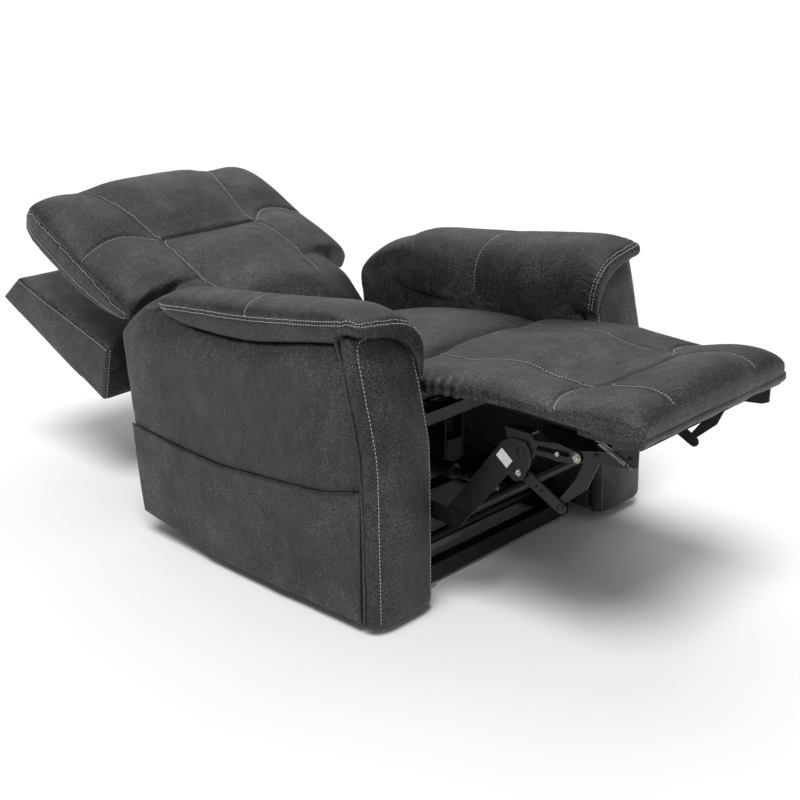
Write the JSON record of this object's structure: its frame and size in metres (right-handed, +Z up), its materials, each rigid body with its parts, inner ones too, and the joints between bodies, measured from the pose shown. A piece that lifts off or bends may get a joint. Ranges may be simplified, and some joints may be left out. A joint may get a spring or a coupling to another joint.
{
  "type": "lift recliner chair",
  "caption": "Power lift recliner armchair in dark faux leather, with reclining back, raised headrest pad, padded footrest on scissor links, side pocket and lifting base.",
  "frame": {"origin": "middle of the reclined chair's bounding box, on the floor", "axes": "+Z up, the sitter faces -Y, +X is the sitter's left"},
  "size_m": [0.906, 1.8122, 0.6504],
  "materials": {
    "upholstery": "distressed charcoal suede-look faux leather, soft sheen, mottled rub marks",
    "lining": "black non-woven dust cover",
    "thread": "off-white waxed topstitching",
    "painted_frame": "satin dark grey powder coat",
    "base_black": "semi-gloss black paint",
    "zinc": "bright zinc plate",
    "motor_housing": "blue-black moulded housing",
    "glide": "beige-grey moulded foot",
    "board": "plywood under a cover",
    "washer": "copper and green passivated washer"
  },
  "bodies": {
    "base": {"base_rail_right": "base_black", "base_rail_left": "base_black", "base_front_tube": "base_black", "base_rear_tube": "base_black", "glide_front_right": "glide", "glide_front_left": "glide", "glide_rear_right": "glide", "glide_rear_left": "glide"},
    "front_lift_links": {"front_lift_link_right": "painted_frame", "front_lift_link_left": "painted_frame", "front_lift_tube": "base_black"},
    "rear_lift_links": {"rear_lift_link_right": "painted_frame", "rear_lift_link_left": "painted_frame", "rear_lift_tube": "base_black"},
    "lift_motor": {"lift_motor": "motor_housing"},
    "lift_rod": {"lift_motor_rod": "zinc"},
    "chassis": {"chassis_plate_right": "painted_frame", "chassis_plate_left": "painted_frame", "chassis_front_tube": "painted_frame", "chassis_mid_tube": "painted_frame", "chassis_rear_tube": "painted_frame", "control_box": "motor_housing", "recline_motor": "motor_housing", "arm_right": "upholstery", "arm_left": "upholstery", "arm_front_right": "upholstery", "arm_front_left": "upholstery", "arm_pad_right": "upholstery", "arm_pad_left": "upholstery", "arm_pocket": "upholstery", "seat_frame": "painted_frame", "seat_rear_rail": "painted_frame", "seat_springs": "zinc", "seat_cushion": "upholstery", "chaise_bridge": "upholstery"},
    "recline_rod": {"recline_motor_rod": "zinc"},
    "footrest_motor": {"footrest_motor": "motor_housing"},
    "footrest_rod": {"footrest_motor_rod": "zinc"},
    "swing_links": {"swing_link_right": "painted_frame", "swing_link_left": "painted_frame", "footrest_tube": "painted_frame"},
    "drive_links": {"drive_link_right": "painted_frame", "drive_link_left": "painted_frame"},
    "long_links": {"long_link_right": "painted_frame", "long_link_left": "painted_frame"},
    "cross_links": {"cross_link_right": "painted_frame", "cross_link_left": "painted_frame"},
    "bent_links": {"bent_link_right": "painted_frame", "bent_link_left": "painted_frame"},
    "ottoman": {"ottoman_bracket_right": "painted_frame", "ottoman_bracket_left": "painted_frame", "ottoman_board": "board", "ottoman_pad": "upholstery"},
    "back": {"back_frame": "painted_frame", "back_shell": "upholstery", "lumbar_pad": "upholstery", "headrest_motor": "motor_housing"},
    "headrest": {"headrest_frame": "painted_frame", "headrest_pad": "upholstery"},
    "headrest_rod": {"headrest_motor_rod": "zinc"}
  },
  "joints": [
    {"name": "lift", "type": "hinge", "parent": "base", "child": "rear_lift_links", "pos_m": [0, -0.15, 0.06], "axis": [1, 0, 0], "range_deg": [0, 60]},
    {"name": "chassis_tilt", "type": "hinge", "parent": "rear_lift_links", "child": "chassis", "pos_m": [0, 0.2, 0.085], "axis": [1, 0, 0], "range_deg": [-41.5, 0]},
    {"name": "front_lift_links_swing", "type": "hinge", "parent": "base", "child": "front_lift_links", "pos_m": [0, -0.33, 0.054], "axis": [1, 0, 0], "range_deg": [0, 64]},
    {"name": "lift_motor_swing", "type": "hinge", "parent": "base", "child": "lift_motor", "pos_m": [0, 0.29, 0.078], "axis": [1, 0, 0], "range_deg": [-12.6, 0]},
    {"name": "lift_rod_slide", "type": "slide", "parent": "lift_motor", "child": "lift_rod", "axis": [0, -0.9856, 0.169], "range_m": [0, 0.239]},
    {"name": "back_recline", "type": "hinge", "parent": "chassis", "child": "back", "pos_m": [0, 0.11, 0.27], "axis": [1, 0, 0], "range_deg": [0, 51]},
    {"name": "recline_rod_slide", "type": "slide", "parent": "chassis", "child": "recline_rod", "axis": [0, 1, 0.0072], "range_m": [0, 0.098]},
    {"name": "headrest_tilt", "type": "hinge", "parent": "back", "child": "headrest", "pos_m": [0, 0.28103, 0.283], "axis": [1, 0, 0], "range_deg": [-9.5, 0]},
    {"name": "headrest_rod_slide", "type": "slide", "parent": "back", "child": "headrest_rod", "axis": [0, -0.4226, 0.9063], "range_m": [-0.08, 0]},
    {"name": "footrest_fold", "type": "hinge", "parent": "chassis", "child": "swing_links", "pos_m": [0, -0.353, 0.196], "axis": [1, 0, 0], "range_deg": [0, 78.43], "deforming": ["chaise_bridge"]},
    {"name": "drive_link_turn", "type": "hinge", "parent": "swing_links", "child": "drive_links", "pos_m": [0, -0.481, 0.185], "axis": [1, 0, 0], "range_deg": [-146, 0]},
    {"name": "long_link_turn", "type": "hinge", "parent": "drive_links", "child": "long_links", "pos_m": [0, -0.641, 0.365], "axis": [1, 0, 0], "range_deg": [0, 90]},
    {"name": "ottoman_turn", "type": "hinge", "parent": "long_links", "child": "ottoman", "pos_m": [0, -0.76, 0.386], "axis": [1, 0, 0], "range_deg": [0, 66.1]},
    {"name": "cross_link_turn", "type": "hinge", "parent": "drive_links", "child": "cross_links", "pos_m": [0, -0.636, 0.324], "axis": [1, 0, 0], "range_deg": [0, 145.6]},
    {"name": "bent_link_turn", "type": "hinge", "parent": "ottoman", "child": "bent_links", "pos_m": [0, -0.793, 0.395], "axis": [1, 0, 0], "range_deg": [-54.5, 0]},
    {"name": "footrest_motor_swing", "type": "hinge", "parent": "chassis", "child": "footrest_motor", "pos_m": [0, -0.1, 0.19], "axis": [1, 0, 0], "range_deg": [0, 23.8]},
    {"name": "footrest_rod_slide", "type": "slide", "parent": "footrest_motor", "child": "footrest_rod", "axis": [0, -0.9999, -0.0131], "range_m": [-0.088, 0]}
  ],
  "couplings": [
    {"joint": "chassis_tilt", "follows": "lift", "ratio": -0.65612},
    {"joint": "front_lift_links_swing", "follows": "lift", "ratio": 1.0637},
    {"joint": "lift_motor_swing", "follows": "lift", "ratio": -0.19428},
    {"joint": "lift_rod_slide", "follows": "lift", "m_per_rad": 0.22726},
    {"joint": "recline_rod_slide", "follows": "back_recline", "m_per_rad": 0.10813},
    {"joint": "headrest_rod_slide", "follows": "headrest_tilt", "m_per_rad": 0.47776},
    {"joint": "drive_link_turn", "follows": "footrest_fold", "ratio": -1.8591},
    {"joint": "long_link_turn", "follows": "footrest_fold", "ratio": 1.1396},
    {"joint": "ottoman_turn", "follows": "footrest_fold", "ratio": 0.84147},
    {"joint": "cross_link_turn", "follows": "footrest_fold", "ratio": 1.8547},
    {"joint": "bent_link_turn", "follows": "footrest_fold", "ratio": -0.69367},
    {"joint": "footrest_motor_swing", "follows": "footrest_fold", "ratio": 0.30215},
    {"joint": "footrest_rod_slide", "follows": "footrest_fold", "m_per_rad": -0.06335}
  ]
}
